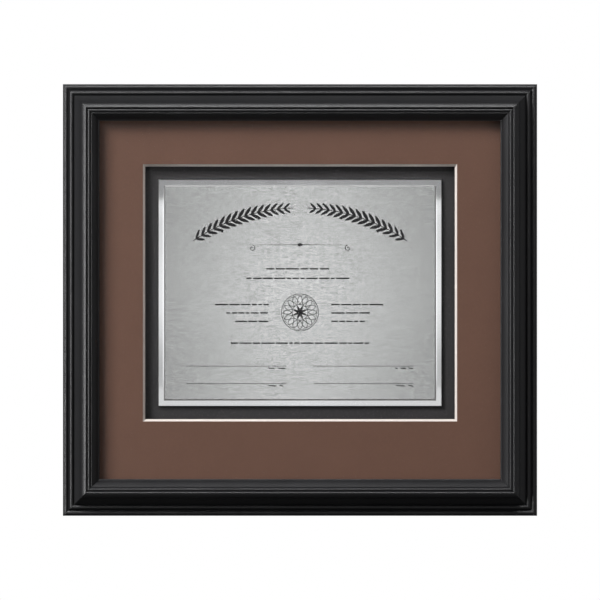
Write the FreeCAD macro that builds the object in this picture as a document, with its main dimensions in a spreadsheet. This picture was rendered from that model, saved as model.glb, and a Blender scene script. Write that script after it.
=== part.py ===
import FreeCAD, Part
import os

import Sketcher

# Certificate frame, hung on a wall, in millimetres.
# +X is to the right as one looks at its face, +Z is up, and the face looks along -Y.
# The origin is on the wall, behind the middle of the frame: the bumpers' rear faces touch the plane Y = 0.
# Most bodies are drawn on their own XZ plane and padded forwards, along -Y, from the plane behind them.

# Driving dimensions

SIZES = [
    ("rabbet_width", 368.3, "width of the rabbet, the frame's nominal size"),
    ("rabbet_height", 330.2, "height of the rabbet"),
    ("rail_width", 33.0, "width of the moulding, outer edge to sight edge"),
    ("lip_reach", 5.0, "how far the lip covers the glazing"),
    ("lip_thick", 2.5, "thickness of the lip at the sight edge"),
    ("crest_rise", 8.7, "height of the moulding's ridge over the sight edge"),
    ("outer_wall", 9.0, "height of the flat outer side of the moulding"),
    ("edge_round", 0.8, "drop of the rounding at the sight edge"),
    ("fit_gap", 0.8, "gap between the rabbet's wall and the sheets in it, on each side"),
    ("glass_thick", 2.0, "thickness of the glazing"),
    ("mat_thick", 2.0, "thickness of the window mat"),
    ("window_width", 277.0, "width of the mat's window at its back"),
    ("window_height", 226.0, "height of the mat's window at its back"),
    ("window_lift", 6.4, "how far the window's middle is above the frame's middle"),
    ("bevel_angle", 45.0, "angle of the mat's bevel, in degrees"),
    ("spacer_thick", 5.0, "thickness of the spacer strips"),
    ("spacer_width", 26.0, "width of the spacer strips"),
    ("board_thick", 1.5, "thickness of the mount board"),
    ("backing_thick", 3.0, "thickness of the backing board"),
    ("plate_width", 254.0, "width of the rim plate"),
    ("plate_height", 203.2, "height of the rim plate"),
    ("plate_thick", 1.6, "thickness of the rim plate"),
    ("plate_bevel", 0.5, "bevel on the rim plate's front edges"),
    ("rim_width", 5.2, "width of the polished rim left round the panel"),
    ("panel_thick", 1.6, "thickness of the certificate panel"),
    ("panel_bevel", 1.2, "bevel on the panel's front edges"),
    ("pad_thick", 0.8, "thickness of the tape pads"),
    ("pad_length", 38.0, "length of a tape pad"),
    ("pad_width", 19.0, "width of a tape pad"),
    ("nail_leg", 6.0, "length of a V-nail's leg, in plan"),
    ("nail_thick", 0.6, "thickness of a V-nail's sheet"),
    ("nail_depth", 9.0, "how deep a V-nail stands in the moulding"),
    ("button_thick", 1.4, "thickness of a turn button"),
    ("button_reach", 16.0, "from a button's screw to the middle of its tip"),
    ("button_pivot_radius", 6.0, "radius of a button's round end"),
    ("button_tip_radius", 4.0, "radius of a button's tip"),
    ("button_gap", 0.3, "gap between a turn button and the backing board"),
    ("button_rib_rise", 0.7, "height of the pressed rib along a button"),
    ("button_rib_width", 2.6, "width of that rib, whose ends run to points"),
    ("pivot_inset", 8.0, "from the rabbet's wall out to a button's screw"),
    ("pivot_gap", 0.08, "radial play between a turning piece and what it turns on"),
    ("face_gap", 0.1, "play between a button and its screw's head"),
    ("button_screw_radius", 1.6, "radius of a turn button's screw"),
    ("button_screw_depth", 9.0, "how deep that screw stands in the moulding"),
    ("button_head_radius", 3.4, "radius of its head"),
    ("button_head_height", 2.0, "height of its head"),
    ("head_taper", 25.0, "slope of the screw heads' sides, in degrees"),
    ("strap_width", 12.0, "width of a hanger strap"),
    ("strap_thick", 1.0, "thickness of a hanger strap"),
    ("strap_drop", 20.0, "from the D ring's axis down to the strap's screw"),
    ("knuckle_lift", 0.3, "how far the knuckle stands off the moulding"),
    ("ring_wire_radius", 1.1, "radius of the D ring's wire, over the corners of its eight flats"),
    ("ring_half_width", 8.5, "half the width of the D ring, at its wire's middle"),
    ("ring_corner_radius", 2.2, "corner radius of the D ring, at its wire's middle"),
    ("ring_arm", 3.5, "from the D ring's axis to the start of its round end"),
    ("strap_screw_radius", 2.0, "radius of a hanger screw"),
    ("strap_screw_depth", 12.0, "how deep a hanger screw stands in the moulding"),
    ("strap_head_radius", 3.9, "radius of a hanger screw's head"),
    ("strap_head_height", 2.3, "height of a hanger screw's head"),
    ("bumper_radius", 5.0, "radius of a wall bumper"),
    ("bumper_thick", 4.8, "thickness of a wall bumper, and the gap behind the frame"),
    ("bumper_inset", 14.0, "from the frame's outer edges to a bumper's middle"),
    ("overrun", 2.0, "how far every cutting shape runs past what it cuts"),
]

# Outline of the moulding, from its outer edge at the front to its sight edge.
# Each row holds the share of the rail's width, the share of the height between the outer wall and the crest,
# and the bulge of the edge to the next point as a share of its length: plus swells forwards, minus is hollow.

MOULDING_SHARES = [
    (0.0, 0.0, 0.26),
    (0.106, 0.160, 0.0),
    (0.150, 0.100, 0.0),
    (0.174, 0.160, 0.30),
    (0.282, 0.205, 0.0),
    (0.304, 0.165, 0.0),
    (0.320, 0.215, -0.08),
    (0.516, 0.820, 0.10),
    (0.556, 0.940, 0.06),
    (0.640, 1.0, 0.14),
    (0.668, 0.930, 0.0),
    (0.682, 0.900, 0.28),
    (0.764, 0.880, 0.0),
    (0.778, 0.830, 0.0),
    (0.800, 0.835, 0.04),
]
SIGHT_EDGE_SHARE = 0.972
SIGHT_BULGE_SHARE = 0.2

# Places, as shares of the sizes that they follow

NAIL_SHARES = [0.40, 0.80]
BUTTON_ACROSS_SHARE = 0.25
BUTTON_UP_SHARE = 0.16
HANGER_UP_SHARE = 0.34
HANGER_IN_SHARE = 0.5
PAD_ACROSS_SHARES = [-0.36, 0.0, 0.36]
PAD_UP_SHARES = [-0.36, 0.36]

# Sizes worked out from the driving dimensions, as expressions on the sheet's cells

OUTER_WIDTH = "(Sizes.rabbet_width + 2 * Sizes.rail_width - 2 * Sizes.lip_reach)"
OUTER_HEIGHT = "(Sizes.rabbet_height + 2 * Sizes.rail_width - 2 * Sizes.lip_reach)"
SHEET_WIDTH = "(Sizes.rabbet_width - 2 * Sizes.fit_gap)"
SHEET_HEIGHT = "(Sizes.rabbet_height - 2 * Sizes.fit_gap)"
PANEL_WIDTH = "(Sizes.plate_width - 2 * Sizes.rim_width)"
PANEL_HEIGHT = "(Sizes.plate_height - 2 * Sizes.rim_width)"
WALL_WIDTH = "(Sizes.rail_width - Sizes.lip_reach)"

# Heights in front of the moulding's back

BACKING_BACK = "(Sizes.button_gap)"
BOARD_BACK = "(Sizes.button_gap + Sizes.backing_thick)"
BOARD_FRONT = f"({BOARD_BACK} + Sizes.board_thick)"
MAT_BACK = f"({BOARD_FRONT} + Sizes.spacer_thick)"
GLASS_BACK = f"({MAT_BACK} + Sizes.mat_thick)"
RABBET_DEPTH = f"({GLASS_BACK} + Sizes.glass_thick)"
SIGHT_HEIGHT = f"({RABBET_DEPTH} + Sizes.lip_thick)"
CREST_HEIGHT = f"({SIGHT_HEIGHT} + Sizes.crest_rise)"
PLATE_BACK = f"({BOARD_FRONT} + Sizes.pad_thick)"
PANEL_BACK = f"({PLATE_BACK} + Sizes.plate_thick)"
KNUCKLE_BORE = "(Sizes.ring_wire_radius + Sizes.pivot_gap)"
KNUCKLE_RADIUS = f"({KNUCKLE_BORE} + Sizes.strap_thick)"
RING_AXIS = f"({KNUCKLE_RADIUS} + Sizes.knuckle_lift)"

# From a rail's outer edge in to its turn buttons' screws

PIVOT_HEIGHT = f"({WALL_WIDTH} - Sizes.pivot_inset)"

QUARTER = 90.0
HALF = 180.0
WHOLE_TURN = 360.0
WIRE_FLAT_COUNT = 8
UP = FreeCAD.Vector(0, 0, 1)

# Bulges of a half circle and of a quarter circle, and how near counts as the same plane

ROUND_END_SHARE = 0.5
QUARTER_BULGE_SHARE = 0.20710678
NEAR_SHARE = 1e-6

doc = FreeCAD.newDocument("CertificateFrame")
sheet = doc.addObject("Spreadsheet::Sheet", "Sizes")
for row, (alias, number, note) in enumerate(SIZES, start=1):
    sheet.set(f"A{row}", note)
    sheet.set(f"B{row}", str(number))
    sheet.setAlias(f"B{row}", alias)
doc.recompute()

parts = []


# Helpers for sketches and features

def value(expression):
    """The number that an expression on the sheet gives now."""
    return float(sheet.evalExpression(expression))


def times(share, expression):
    """An expression for a share of a size."""
    return f"({share} * {expression})"


def new_body(label, turn=0.0, x="0", behind="0", z="0"):
    """A body turned about Y in degrees, with its XZ plane this far in front of the moulding's back."""
    body = doc.addObject("PartDesign::Body", label)
    body.Label = label
    body.Placement = FreeCAD.Placement(FreeCAD.Vector(), FreeCAD.Rotation(FreeCAD.Vector(0, 1, 0), turn))
    body.setExpression("Placement.Base.x", x)
    body.setExpression("Placement.Base.y", f"-Sizes.bumper_thick - ({behind})")
    body.setExpression("Placement.Base.z", z)
    parts.append(body)
    return body


def new_sketch(body, name, role="XZ_Plane", forwards="0"):
    """A sketch on one of the body's own planes, moved along that plane's normal."""
    sketch = body.newObject("Sketcher::SketchObject", f"{body.Name}_{name}")
    plane = [feature for feature in body.Origin.OriginFeatures if feature.Role == role][0]
    sketch.AttachmentSupport = [(plane, "")]
    sketch.MapMode = "FlatFace"
    sketch.setExpression("AttachmentOffset.Base.z", forwards)
    return sketch


def bind(sketch, kind, where, expression):
    """Adds one dimension to a sketch and binds it to the sheet."""
    index = sketch.addConstraint(Sketcher.Constraint(kind, *where, value(expression)))
    sketch.setExpression(f"Constraints[{index}]", expression)


def place_point(sketch, edge, end, x, y):
    """Ties one point of an edge to the sketch's origin."""
    bind(sketch, "DistanceX", (-1, 1, edge, end), x)
    bind(sketch, "DistanceY", (-1, 1, edge, end), y)


def arc_middle(start, stop, bulge):
    """Expressions for the middle of an arc between two corners."""
    lean = f"(({bulge}) / 2 - 1 / (8 * ({bulge})))"
    x = f"(({start[0]}) + ({stop[0]})) / 2 - (({stop[1]}) - ({start[1]})) * {lean}"
    y = f"(({start[1]}) + ({stop[1]})) / 2 + (({stop[0]}) - ({start[0]})) * {lean}"
    return x, y


def add_outline(sketch, corners):
    """Closes an outline through corners of (x, y), or (x, y, bulge share) where an arc leads to the next corner.

    The bulge is the arc's rise as a share of its chord, plus to the left of the way it runs.
    """
    first = sketch.GeometryCount
    count = len(corners)
    ends = []
    for index, corner in enumerate(corners):
        after = corners[(index + 1) % count]
        start = FreeCAD.Vector(value(corner[0]), value(corner[1]), 0)
        stop = FreeCAD.Vector(value(after[0]), value(after[1]), 0)
        if len(corner) == 2:
            sketch.addGeometry(Part.LineSegment(start, stop))
            ends.append((1, 2))
            continue
        x, y = arc_middle(corner, after, corner[2])
        middle = FreeCAD.Vector(value(x), value(y), 0)
        circle = Part.Circle(middle, UP, middle.distanceToPoint(start))
        turns_left = value(str(corner[2])) < 0
        limits = (start, stop) if turns_left else (stop, start)
        sketch.addGeometry(Part.ArcOfCircle(circle, circle.parameter(limits[0]), circle.parameter(limits[1])))
        ends.append((1, 2) if turns_left else (2, 1))
    for index, corner in enumerate(corners):
        following = (index + 1) % count
        joined = (first + index, ends[index][1], first + following, ends[following][0])
        sketch.addConstraint(Sketcher.Constraint("Coincident", *joined))
        place_point(sketch, first + index, ends[index][0], corner[0], corner[1])
    for index, corner in enumerate(corners):
        if len(corner) == 2:
            continue
        after = corners[(index + 1) % count]
        x, y = arc_middle(corner, after, corner[2])
        wide = abs(value(f"({after[0]}) - ({corner[0]})"))
        tall = abs(value(f"({after[1]}) - ({corner[1]})"))
        if wide >= tall:
            bind(sketch, "DistanceY", (-1, 1, first + index, 3), y)
        else:
            bind(sketch, "DistanceX", (-1, 1, first + index, 3), x)


def add_rectangle(sketch, left, bottom, right, top):
    """Adds a rectangle by its four sides."""
    add_outline(sketch, [(left, bottom), (right, bottom), (right, top), (left, top)])


def add_centred_rectangle(sketch, width, height, x="0", z="0"):
    """Adds a rectangle about a middle point."""
    add_rectangle(sketch, f"{x} - {width} / 2", f"{z} - {height} / 2", f"{x} + {width} / 2", f"{z} + {height} / 2")


def add_circle(sketch, radius, x="0", y="0"):
    """Adds a circle."""
    middle = FreeCAD.Vector(value(x), value(y), 0)
    index = sketch.addGeometry(Part.Circle(middle, UP, value(radius)))
    bind(sketch, "Radius", (index,), radius)
    place_point(sketch, index, 3, x, y)


def add_regular_polygon(sketch, radius, sides):
    """Adds a regular polygon about the sketch's origin, by the radius over its corners."""
    corners = []
    for index in range(sides):
        angle = (index + 0.5) * WHOLE_TURN / sides
        corners.append((f"{radius} * cos({angle})", f"{radius} * sin({angle})"))
    add_outline(sketch, corners)


def add_pad(body, sketch, length, backwards=False, both_ways=False, taper=None):
    """Pads a sketch; on the XZ plane forwards is towards the face of the frame."""
    pad = body.newObject("PartDesign::Pad", f"{sketch.Name}_pad")
    pad.Profile = sketch
    pad.Reversed = backwards
    pad.SideType = "Symmetric" if both_ways else "One side"
    pad.setExpression("Length", length)
    if taper:
        pad.setExpression("TaperAngle", f"-{taper}")
    sketch.Visibility = False
    return pad


def add_pocket(body, sketch, depth, forwards=True, both_ways=False, taper=None):
    """Cuts a sketch out of the body; on the XZ plane forwards is towards the face of the frame."""
    pocket = body.newObject("PartDesign::Pocket", f"{sketch.Name}_pocket")
    pocket.Profile = sketch
    pocket.Reversed = forwards
    pocket.SideType = "Symmetric" if both_ways else "One side"
    pocket.setExpression("Length", depth)
    if taper:
        pocket.setExpression("TaperAngle", taper)
    sketch.Visibility = False
    doc.recompute()
    return pocket


def edges_at(shape, level):
    """Names of the edges that lie in the plane Y = level of a body's own frame."""
    names = []
    near = shape.BoundBox.DiagonalLength * NEAR_SHARE
    for index, edge in enumerate(shape.Edges, start=1):
        box = edge.BoundBox
        if abs(box.YMin - level) < near and abs(box.YMax - level) < near:
            names.append(f"Edge{index}")
    return names


def dress_edges(body, feature_type, base, names, property_name, size):
    """Adds a chamfer or fillet to named edges of a feature."""
    dressing = body.newObject(feature_type, f"{base.Name}_dressing")
    dressing.Base = (base, names)
    dressing.setExpression(property_name, size)
    doc.recompute()
    return dressing


# Places shared by what is fastened and what it is fastened to

ACROSS_SEAT = times(BUTTON_ACROSS_SHARE, "Sizes.rabbet_width")
UP_SEAT = times(BUTTON_UP_SHARE, "Sizes.rabbet_height")
SIDE_PIVOT = f"({OUTER_WIDTH} / 2 - {PIVOT_HEIGHT})"
END_PIVOT = f"({OUTER_HEIGHT} / 2 - {PIVOT_HEIGHT})"

# Name, X, Z and turn about Y of each turn button; unturned, its tip points up

BUTTON_SEATS = [
    ("turn_button_top_left", f"-{ACROSS_SEAT}", END_PIVOT, HALF),
    ("turn_button_top_right", ACROSS_SEAT, END_PIVOT, HALF),
    ("turn_button_bottom_left", f"-{ACROSS_SEAT}", f"-{END_PIVOT}", 0.0),
    ("turn_button_bottom_right", ACROSS_SEAT, f"-{END_PIVOT}", 0.0),
    ("turn_button_left_upper", f"-{SIDE_PIVOT}", UP_SEAT, QUARTER),
    ("turn_button_left_lower", f"-{SIDE_PIVOT}", f"-{UP_SEAT}", QUARTER),
    ("turn_button_right_upper", SIDE_PIVOT, UP_SEAT, -QUARTER),
    ("turn_button_right_lower", SIDE_PIVOT, f"-{UP_SEAT}", -QUARTER),
]

HANGER_X = f"({OUTER_WIDTH} / 2 - {times(HANGER_IN_SHARE, WALL_WIDTH)})"
HANGER_Z = times(HANGER_UP_SHARE, "Sizes.rabbet_height")
STRAP_SCREW_Z = f"({HANGER_Z} - Sizes.strap_drop)"
HANGER_SEATS = [("left", f"-{HANGER_X}"), ("right", HANGER_X)]


# Frame rails

def moulding_outline():
    """Corners of the rail's section; X is depth along Y, and Y is the distance in from the outer edge."""
    corners = [("0", "0")]
    for width_share, height_share, bulge_share in MOULDING_SHARES:
        height = f"Sizes.outer_wall + {height_share} * ({CREST_HEIGHT} - Sizes.outer_wall)"
        corner = (f"-({height})", times(width_share, "Sizes.rail_width"))
        corners.append(corner + (bulge_share,) if bulge_share else corner)
    corners.append((f"-{SIGHT_HEIGHT}", times(SIGHT_EDGE_SHARE, "Sizes.rail_width"), SIGHT_BULGE_SHARE))
    corners.append((f"-({SIGHT_HEIGHT} - Sizes.edge_round)", "Sizes.rail_width"))
    corners.append((f"-{RABBET_DEPTH}", "Sizes.rail_width"))
    corners.append((f"-{RABBET_DEPTH}", WALL_WIDTH))
    corners.append(("0", WALL_WIDTH))
    return corners


def make_rail(label, length, turn, x, z, screw_seats, strap_seat=None):
    """One mitred rail, drawn as a bottom rail: along X, its outer edge at Z = 0, its back on the XZ plane."""
    body = new_body(label, turn=turn, x=x, z=z)
    profile = new_sketch(body, "section", role="YZ_Plane")
    add_outline(profile, moulding_outline())
    add_pad(body, profile, length, both_ways=True)

    mitres = new_sketch(body, "mitres")
    past = "Sizes.overrun"
    for side in ("", "-"):
        tip = (f"{side}({length} / 2 + {past})", f"-{past}")
        inner = (f"{side}({length} / 2 - Sizes.rail_width - {past})", f"Sizes.rail_width + {past}")
        outer = (f"{side}({length} / 2 + {past})", f"Sizes.rail_width + {past}")
        add_outline(mitres, [tip, inner, outer])
    add_pocket(body, mitres, f"{CREST_HEIGHT} + {past}")

    slots = new_sketch(body, "nail_slots")
    for share in NAIL_SHARES:
        apex = times(share, WALL_WIDTH)
        near = f"({length} / 2 - {apex})"
        far = f"({length} / 2 - {apex} + Sizes.nail_thick)"
        low = f"{apex} - Sizes.nail_leg"
        add_rectangle(slots, near, low, far, apex)
        add_rectangle(slots, f"-{far}", low, f"-{near}", apex)
    add_pocket(body, slots, "Sizes.nail_depth")

    holes = new_sketch(body, "button_screw_holes")
    for seat in screw_seats:
        add_circle(holes, "Sizes.button_screw_radius", seat, PIVOT_HEIGHT)
    add_pocket(body, holes, "Sizes.button_screw_depth")

    if strap_seat:
        hole = new_sketch(body, "strap_screw_hole")
        add_circle(hole, "Sizes.strap_screw_radius", strap_seat, times(HANGER_IN_SHARE, WALL_WIDTH))
        add_pocket(body, hole, "Sizes.strap_screw_depth")
    return body


across_seats = [f"-{ACROSS_SEAT}", ACROSS_SEAT]
up_seats = [f"-{UP_SEAT}", UP_SEAT]
make_rail("rail_bottom", OUTER_WIDTH, 0.0, "0", f"-{OUTER_HEIGHT} / 2", across_seats)
make_rail("rail_top", OUTER_WIDTH, HALF, "0", f"{OUTER_HEIGHT} / 2", across_seats)
make_rail("rail_left", OUTER_HEIGHT, QUARTER, f"-{OUTER_WIDTH} / 2", "0", up_seats, f"-{STRAP_SCREW_Z}")
make_rail("rail_right", OUTER_HEIGHT, -QUARTER, f"{OUTER_WIDTH} / 2", "0", up_seats, STRAP_SCREW_Z)


# Corner V-nails, pressed in from the back across each mitre with their points towards the middle.
# Each corner of their plan is so far out from the point, across and along the frame's own corner.

POINT = "0"
SHEET = "Sizes.nail_thick"
LEG = "Sizes.nail_leg"
V_CORNERS = [(POINT, POINT), (POINT, LEG), (SHEET, LEG), (SHEET, SHEET), (LEG, SHEET), (LEG, POINT)]


def make_v_nails():
    """Two V-nails in each corner, as one group of separate solids."""
    body = new_body("corner_v_nails")
    plan = new_sketch(body, "plan")
    for side in (-1, 1):
        for end in (-1, 1):
            for share in NAIL_SHARES:
                inset = times(share, WALL_WIDTH)
                corners = []
                for across, along in V_CORNERS:
                    x = f"{side} * ({OUTER_WIDTH} / 2 - {inset} + {across})"
                    z = f"{end} * ({OUTER_HEIGHT} / 2 - {inset} + {along})"
                    corners.append((x, z))
                add_outline(plan, corners)
    add_pad(body, plan, "Sizes.nail_depth")
    return body


make_v_nails()


# Flat sheets in the rabbet

def make_sheet(label, width, height, thick, behind, x="0", z="0"):
    """A flat rectangular sheet, padded forwards."""
    body = new_body(label, behind=behind, x=x, z=z)
    face = new_sketch(body, "face")
    add_centred_rectangle(face, width, height)
    pad = add_pad(body, face, thick)
    doc.recompute()
    return body, pad


make_sheet("glazing_sheet", SHEET_WIDTH, SHEET_HEIGHT, "Sizes.glass_thick", GLASS_BACK)
make_sheet("mount_board", SHEET_WIDTH, SHEET_HEIGHT, "Sizes.board_thick", BOARD_BACK)
make_sheet("backing_board", SHEET_WIDTH, SHEET_HEIGHT, "Sizes.backing_thick", BACKING_BACK)


def make_window_mat():
    """The mat, with its window cut at the bevel's angle and widening towards the face."""
    body, pad = make_sheet("window_mat", SHEET_WIDTH, SHEET_HEIGHT, "Sizes.mat_thick", MAT_BACK)
    window = new_sketch(body, "window")
    add_centred_rectangle(window, "Sizes.window_width", "Sizes.window_height", z="Sizes.window_lift")
    add_pocket(body, window, "Sizes.mat_thick", taper="Sizes.bevel_angle")
    return body


make_window_mat()


def make_spacers():
    """Four strips round the edge of the pack, butted at the corners."""
    end = f"({SHEET_HEIGHT} / 2 - Sizes.spacer_width / 2)"
    side = f"({SHEET_WIDTH} / 2 - Sizes.spacer_width / 2)"
    between = f"({SHEET_HEIGHT} - 2 * Sizes.spacer_width)"
    thick = "Sizes.spacer_thick"
    wide = "Sizes.spacer_width"
    make_sheet("spacer_strip_top", SHEET_WIDTH, wide, thick, BOARD_FRONT, z=end)
    make_sheet("spacer_strip_bottom", SHEET_WIDTH, wide, thick, BOARD_FRONT, z=f"-{end}")
    make_sheet("spacer_strip_left", wide, between, thick, BOARD_FRONT, x=f"-{side}")
    make_sheet("spacer_strip_right", wide, between, thick, BOARD_FRONT, x=side)


make_spacers()


# The certificate: a brushed panel on a polished plate, taped to the mount board

def make_bevelled_plate(label, width, height, thick, behind, bevel):
    """A plate with bevelled front edges, in the middle of the window."""
    body, pad = make_sheet(label, width, height, thick, behind, z="Sizes.window_lift")
    names = edges_at(pad.Shape, -value(thick))
    dress_edges(body, "PartDesign::Chamfer", pad, names, "Size", bevel)
    return body


make_bevelled_plate(
    "polished_rim_plate",
    "Sizes.plate_width",
    "Sizes.plate_height",
    "Sizes.plate_thick",
    PLATE_BACK,
    "Sizes.plate_bevel",
)
make_bevelled_plate(
    "brushed_certificate_panel",
    PANEL_WIDTH,
    PANEL_HEIGHT,
    "Sizes.panel_thick",
    PANEL_BACK,
    "Sizes.panel_bevel",
)


def make_tape_pads():
    """Pads of thick tape behind the rim plate, as one group of separate solids."""
    body = new_body("plate_tape_pads", behind=BOARD_FRONT, z="Sizes.window_lift")
    plan = new_sketch(body, "plan")
    for across_share in PAD_ACROSS_SHARES:
        for up_share in PAD_UP_SHARES:
            x = times(across_share, "Sizes.plate_width")
            z = times(up_share, "Sizes.plate_height")
            add_centred_rectangle(plan, "Sizes.pad_length", "Sizes.pad_width", x, z)
    add_pad(body, plan, "Sizes.pad_thick")
    return body


make_tape_pads()


# Turn buttons

def make_turn_button(label, x, z, turn):
    """A flat tapered tab with a pressed rib, lying on the moulding's back; its screw is at its own origin."""
    body = new_body(label, turn=turn, x=x, z=z)
    plan = new_sketch(body, "plan")
    pivot = "Sizes.button_pivot_radius"
    tip = "Sizes.button_tip_radius"
    reach = "Sizes.button_reach"
    slope = f"(({pivot} - {tip}) / {reach})"
    out = f"sqrt(1 - {slope}^2)"
    low = f"({pivot} * {slope})"
    high = f"({reach} + {tip} * {slope})"
    corners = [
        (f"-{pivot} * {out}", low, f"-((1 + {slope}) / (2 * {out}))"),
        (f"{pivot} * {out}", low),
        (f"{tip} * {out}", high, f"-((1 - {slope}) / (2 * {out}))"),
        (f"-{tip} * {out}", high),
    ]
    add_outline(plan, corners)
    add_pad(body, plan, "Sizes.button_thick", backwards=True)
    doc.recompute()

    rib = new_sketch(body, "rib", forwards="-Sizes.button_thick")
    half = "Sizes.button_rib_width / 2"
    corners = [
        ("0", pivot),
        (half, f"{pivot} + {half}"),
        (half, f"{reach} - {half}"),
        ("0", reach),
        (f"-{half}", f"{reach} - {half}"),
        (f"-{half}", f"{pivot} + {half}"),
    ]
    add_outline(rib, corners)
    add_pad(body, rib, "Sizes.button_rib_rise", backwards=True)
    doc.recompute()

    bore = new_sketch(body, "bore")
    add_circle(bore, "Sizes.button_screw_radius + Sizes.pivot_gap")
    add_pocket(body, bore, "Sizes.button_thick + Sizes.overrun", forwards=False)
    return body


for seat_label, seat_x, seat_z, seat_turn in BUTTON_SEATS:
    make_turn_button(seat_label, seat_x, seat_z, seat_turn)


# Screws with flat-topped heads, each kind as one group of separate solids

def make_screws(label, seats, shank_radius, depth, grip, head_radius, head_height):
    """Screws at these (x, z) seats, with this grip between the moulding's back and the head."""
    body = new_body(label)
    shanks = new_sketch(body, "shanks", forwards=f"-({grip})")
    for x, z in seats:
        add_circle(shanks, shank_radius, x, z)
    add_pad(body, shanks, f"{depth} + {grip}")
    doc.recompute()
    heads = new_sketch(body, "heads", forwards=f"-({grip})")
    for x, z in seats:
        add_circle(heads, head_radius, x, z)
    add_pad(body, heads, head_height, backwards=True, taper="Sizes.head_taper")
    return body


make_screws(
    "turn_button_screws",
    [(seat_x, seat_z) for seat_label, seat_x, seat_z, seat_turn in BUTTON_SEATS],
    "Sizes.button_screw_radius",
    "Sizes.button_screw_depth",
    "Sizes.button_thick + Sizes.face_gap",
    "Sizes.button_head_radius",
    "Sizes.button_head_height",
)
make_screws(
    "hanger_screws",
    [(hanger_x, STRAP_SCREW_Z) for side_name, hanger_x in HANGER_SEATS],
    "Sizes.strap_screw_radius",
    "Sizes.strap_screw_depth",
    "Sizes.strap_thick",
    "Sizes.strap_head_radius",
    "Sizes.strap_head_height",
)


# Strap hangers with D rings

def make_strap(label, x):
    """A strap with a round lower end and a knuckle rolled round the D ring's bar; the bar is at its own Z = 0."""
    body = new_body(label, x=x, z=HANGER_Z)
    plan = new_sketch(body, "plan")
    half = "Sizes.strap_width / 2"
    corners = [
        (f"-{half}", "-Sizes.strap_drop", -ROUND_END_SHARE),
        (half, "-Sizes.strap_drop"),
        (half, "0"),
        (f"-{half}", "0"),
    ]
    add_outline(plan, corners)
    add_pad(body, plan, "Sizes.strap_thick", backwards=True)
    doc.recompute()

    knuckle = new_sketch(body, "knuckle", role="YZ_Plane")
    add_circle(knuckle, KNUCKLE_RADIUS, RING_AXIS, "0")
    add_pad(body, knuckle, "Sizes.strap_width", both_ways=True)
    doc.recompute()
    eye = new_sketch(body, "eye", role="YZ_Plane")
    add_circle(eye, KNUCKLE_BORE, RING_AXIS, "0")
    add_pocket(body, eye, "Sizes.strap_width + Sizes.overrun", both_ways=True)

    hole = new_sketch(body, "hole")
    add_circle(hole, "Sizes.strap_screw_radius", "0", "-Sizes.strap_drop")
    add_pocket(body, hole, "Sizes.strap_thick + Sizes.overrun", forwards=False)
    return body


def make_ring(label, x):
    """A D ring of wire with eight flats, hanging down from its bar, which lies on its own X axis."""
    body = new_body(label, x=x, behind=f"-{RING_AXIS}", z=HANGER_Z)
    path = new_sketch(body, "path")
    wide = "Sizes.ring_half_width"
    corner = "Sizes.ring_corner_radius"
    arm = "Sizes.ring_arm"
    corners = [
        (f"-({wide} - {corner})", "0"),
        (f"{wide} - {corner}", "0", QUARTER_BULGE_SHARE),
        (wide, f"-{corner}"),
        (wide, f"-{arm}", ROUND_END_SHARE),
        (f"-{wide}", f"-{arm}"),
        (f"-{wide}", f"-{corner}", QUARTER_BULGE_SHARE),
    ]
    add_outline(path, corners)
    wire = new_sketch(body, "wire", role="YZ_Plane")
    add_regular_polygon(wire, "Sizes.ring_wire_radius", WIRE_FLAT_COUNT)
    pipe = body.newObject("PartDesign::AdditivePipe", f"{label}_pipe")
    pipe.Profile = wire
    pipe.Spine = path
    path.Visibility = False
    wire.Visibility = False
    return body


for side_name, hanger_x in HANGER_SEATS:
    make_strap(f"hanger_strap_{side_name}", hanger_x)
    make_ring(f"hanger_ring_{side_name}", hanger_x)


# Wall bumpers

def make_bumper(label, side):
    """A round rubber pad stuck to the moulding's back at a lower corner."""
    x = f"{side} * ({OUTER_WIDTH} / 2 - Sizes.bumper_inset)"
    body = new_body(label, x=x, z=f"-({OUTER_HEIGHT} / 2 - Sizes.bumper_inset)")
    disc = new_sketch(body, "disc")
    add_circle(disc, "Sizes.bumper_radius")
    add_pad(body, disc, "Sizes.bumper_thick", backwards=True)
    return body


make_bumper("wall_bumper_left", -1)
make_bumper("wall_bumper_right", 1)


# Tests of the model, and its files

doc.recompute()
for item in doc.Objects:
    if "Invalid" in item.State or "Error" in item.State:
        raise RuntimeError(f"{item.Label} did not recompute: {item.State}")
for part in parts:
    if part.Shape.isNull() or not part.Shape.isValid() or not part.Shape.Solids:
        raise RuntimeError(f"{part.Label} has no valid shape")

os.makedirs("parts", exist_ok=True)
for part in parts:
    part.Shape.exportStep(f"parts/{part.Label}.step")
    print(part.Label, len(part.Shape.Solids), "solid", round(part.Shape.Volume, 1), "mm3")
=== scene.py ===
"""The looks of a certificate frame: its finishes, its etched plate and the fixings on its back.

Lengths in the classes are in millimetres, and MM turns them into the scene's metres.
+X is to the right as one looks at the face, +Z is up, and the face looks along -Y.
"""

import logging
import math
import random
from dataclasses import dataclass, field
from enum import Enum
from typing import Any, Callable, Mapping, Optional, Sequence, Union

import bmesh
import bpy
from mathutils import Matrix, Vector


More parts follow.
